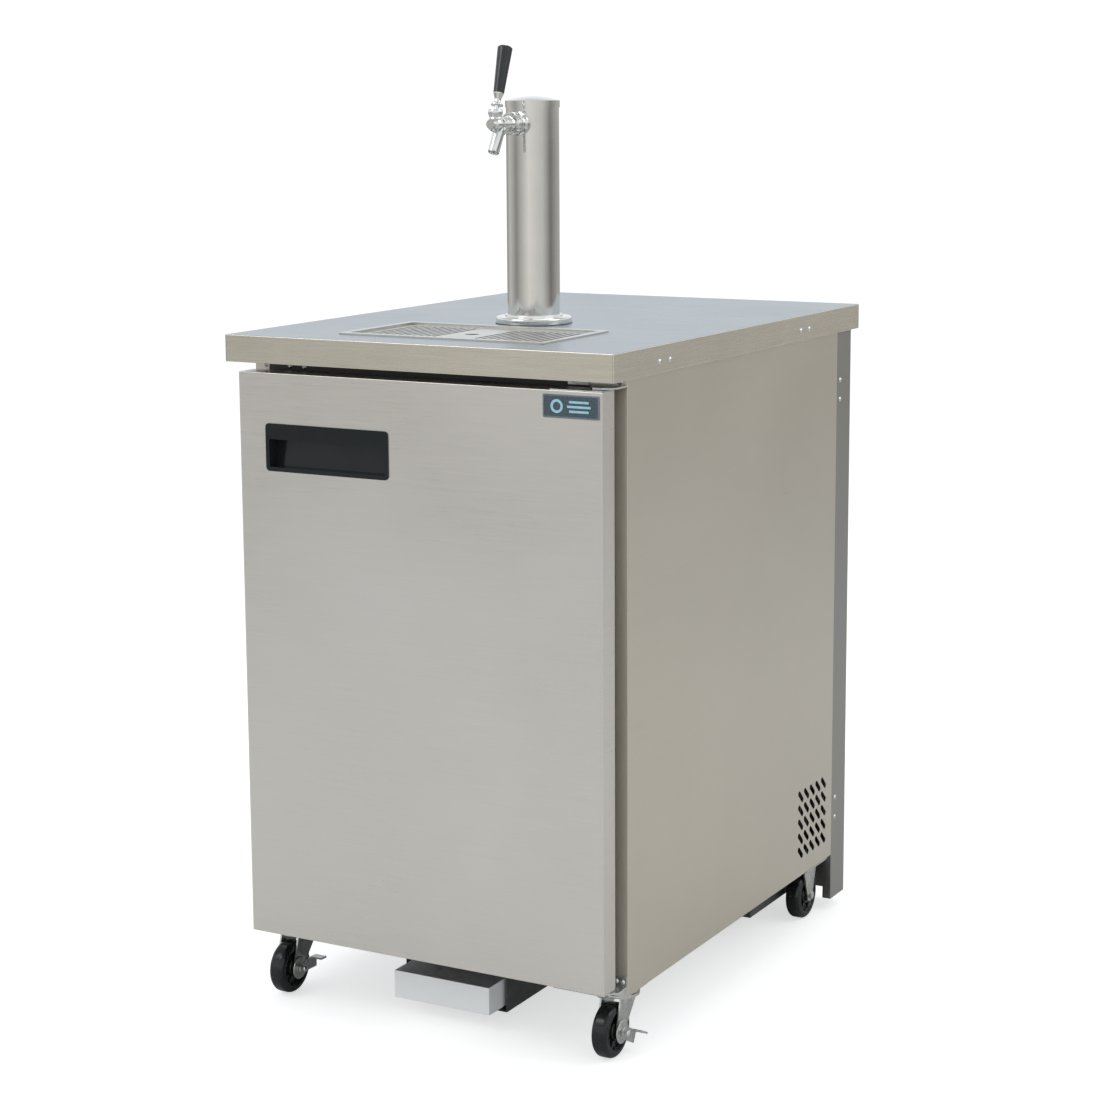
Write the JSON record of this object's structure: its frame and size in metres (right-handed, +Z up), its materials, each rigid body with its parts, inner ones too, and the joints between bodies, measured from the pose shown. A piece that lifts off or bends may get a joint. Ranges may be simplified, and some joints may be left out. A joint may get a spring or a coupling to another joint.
{
  "type": "kegerator",
  "caption": "Stainless steel keg cooler on castors with a hinged door, a worktop drip tray and grille, a draught tower with a lever tap, and a sliding drain pan.",
  "frame": {"origin": "on the floor, below the middle of the worktop", "axes": "+Z up, the door faces -Y, the door's hinges are on the +X side"},
  "size_m": [0.6142, 0.83, 1.3652],
  "materials": {
    "worktop_steel": "satin",
    "panel_steel": "satin",
    "door_steel": "satin",
    "cover_steel": "satin",
    "galvanised": "satin",
    "polished_steel": "polished",
    "tray_steel": "satin",
    "zinc": "satin",
    "screw_zinc": "gloss",
    "core_board": "matte",
    "foam": "matte",
    "frame_plastic": "satin",
    "liner_white": "satin",
    "dark_paint": "satin",
    "compressor_paint": "satin",
    "coil_metal": "satin",
    "black_plastic": "satin",
    "pull_plastic": "satin",
    "handle_plastic": "gloss",
    "wheel_rubber": "satin",
    "gasket_rubber": "matte",
    "copper": "satin",
    "clear_tube": "gloss",
    "pan_white": "satin",
    "badge_enamel": "gloss"
  },
  "bodies": {
    "cabinet": {"worktop": "worktop_steel", "worktop_core": "core_board", "panel_screws": "screw_zinc", "side_panel_right": "panel_steel", "side_panel_left": "panel_steel", "rear_cover": "cover_steel", "cabinet_shell": "galvanised", "front_frame": "frame_plastic", "cabinet_insulation": "foam", "inner_liner": "liner_white", "machine_tray": "dark_paint", "compressor": "compressor_paint", "condenser": "coil_metal", "condenser_shroud": "galvanised", "fan_motors": "dark_paint", "evaporator": "coil_metal", "evaporator_cover": "liner_white", "thermostat": "black_plastic", "refrigerant_lines": "copper", "cord_gland": "black_plastic", "drain_shroud": "dark_paint", "drain_tube": "clear_tube", "drip_tray": "tray_steel", "tower_flange": "polished_steel", "tower_column": "polished_steel", "tower_cap": "polished_steel", "tower_insulation": "foam", "tower_shank": "polished_steel", "shank_collar": "polished_steel", "coupling_nut": "polished_steel", "tap_body": "polished_steel", "tap_bonnet": "polished_steel", "beer_line": "clear_tube", "hinge_brackets": "zinc", "caster_plates": "zinc", "rear_caster_forks": "zinc"},
    "door": {"door_skin": "door_steel", "door_insulation": "foam", "door_liner": "liner_white", "door_gasket": "gasket_rubber", "door_handle": "pull_plastic", "door_badge": "badge_enamel", "door_hinge_fittings": "zinc"},
    "tap_lever": {"tap_lever": "polished_steel", "tap_handle": "handle_plastic"},
    "tap_valve": {"tap_valve": "polished_steel"},
    "drip_grille": {"drip_grille": "tray_steel"},
    "drain_pan": {"drain_pan": "pan_white"},
    "condenser_fan": {"condenser_fan": "black_plastic"},
    "evaporator_fan": {"evaporator_fan": "black_plastic"},
    "thermostat_knob": {"thermostat_knob": "black_plastic"},
    "caster_fork_right": {"caster_fork_right": "zinc"},
    "caster_fork_left": {"caster_fork_left": "zinc"},
    "wheel_front_right": {"wheel_front_right": "wheel_rubber"},
    "wheel_front_left": {"wheel_front_left": "wheel_rubber"},
    "wheel_rear_right": {"wheel_rear_right": "wheel_rubber"},
    "wheel_rear_left": {"wheel_rear_left": "wheel_rubber"},
    "brake_right": {"brake_right": "zinc"},
    "brake_left": {"brake_left": "zinc"}
  },
  "joints": [
    {"name": "door_hinge", "type": "hinge", "parent": "cabinet", "child": "door", "pos_m": [0.272, -0.388, 0.5135], "axis": [0, 0, 1], "range_deg": [0, 110]},
    {"name": "tap_lever_pivot", "type": "hinge", "parent": "cabinet", "child": "tap_lever", "pos_m": [0, -0.1851, 1.268], "axis": [1, 0, 0], "range_deg": [0, 40]},
    {"name": "tap_valve_slide", "type": "slide", "parent": "cabinet", "child": "tap_valve", "axis": [0, 1, 0], "range_m": [0, 0.007]},
    {"name": "drip_grille_lift", "type": "slide", "parent": "cabinet", "child": "drip_grille", "axis": [0, 0, 1], "range_m": [0, 0.15]},
    {"name": "drain_pan_slide", "type": "slide", "parent": "cabinet", "child": "drain_pan", "axis": [0, -1, 0], "range_m": [0, 0.31]},
    {"name": "condenser_fan_spin", "type": "hinge", "parent": "cabinet", "child": "condenser_fan", "pos_m": [0.178, 0.2563, 0.25], "axis": [1, 0, 0], "continuous": true},
    {"name": "evaporator_fan_spin", "type": "hinge", "parent": "cabinet", "child": "evaporator_fan", "pos_m": [-0.12, 0.223, 0.824], "axis": [0, 1, 0], "continuous": true},
    {"name": "thermostat_turn", "type": "hinge", "parent": "cabinet", "child": "thermostat_knob", "pos_m": [0.156, 0.202, 0.824], "axis": [0, -1, 0], "range_deg": [-135, 135]},
    {"name": "caster_swivel_right", "type": "hinge", "parent": "cabinet", "child": "caster_fork_right", "pos_m": [0.265, -0.325, 0.0845], "axis": [0, 0, 1], "continuous": true},
    {"name": "caster_swivel_left", "type": "hinge", "parent": "cabinet", "child": "caster_fork_left", "pos_m": [-0.265, -0.325, 0.0845], "axis": [0, 0, 1], "continuous": true},
    {"name": "wheel_front_right_roll", "type": "hinge", "parent": "caster_fork_right", "child": "wheel_front_right", "pos_m": [0.265, -0.352, 0.038], "axis": [1, 0, 0], "continuous": true},
    {"name": "wheel_front_left_roll", "type": "hinge", "parent": "caster_fork_left", "child": "wheel_front_left", "pos_m": [-0.265, -0.352, 0.038], "axis": [1, 0, 0], "continuous": true},
    {"name": "wheel_rear_right_roll", "type": "hinge", "parent": "cabinet", "child": "wheel_rear_right", "pos_m": [0.265, 0.303, 0.038], "axis": [1, 0, 0], "continuous": true},
    {"name": "wheel_rear_left_roll", "type": "hinge", "parent": "cabinet", "child": "wheel_rear_left", "pos_m": [-0.265, 0.303, 0.038], "axis": [1, 0, 0], "continuous": true},
    {"name": "brake_right_pedal", "type": "hinge", "parent": "caster_fork_right", "child": "brake_right", "pos_m": [0.28275, -0.352, 0.038], "axis": [1, 0, 0], "range_deg": [0, 26]},
    {"name": "brake_left_pedal", "type": "hinge", "parent": "caster_fork_left", "child": "brake_left", "pos_m": [-0.24725, -0.352, 0.038], "axis": [1, 0, 0], "range_deg": [-26, 0]}
  ],
  "couplings": [
    {"joint": "tap_valve_slide", "follows": "tap_lever_pivot", "m_per_rad": 0.00978}
  ]
}
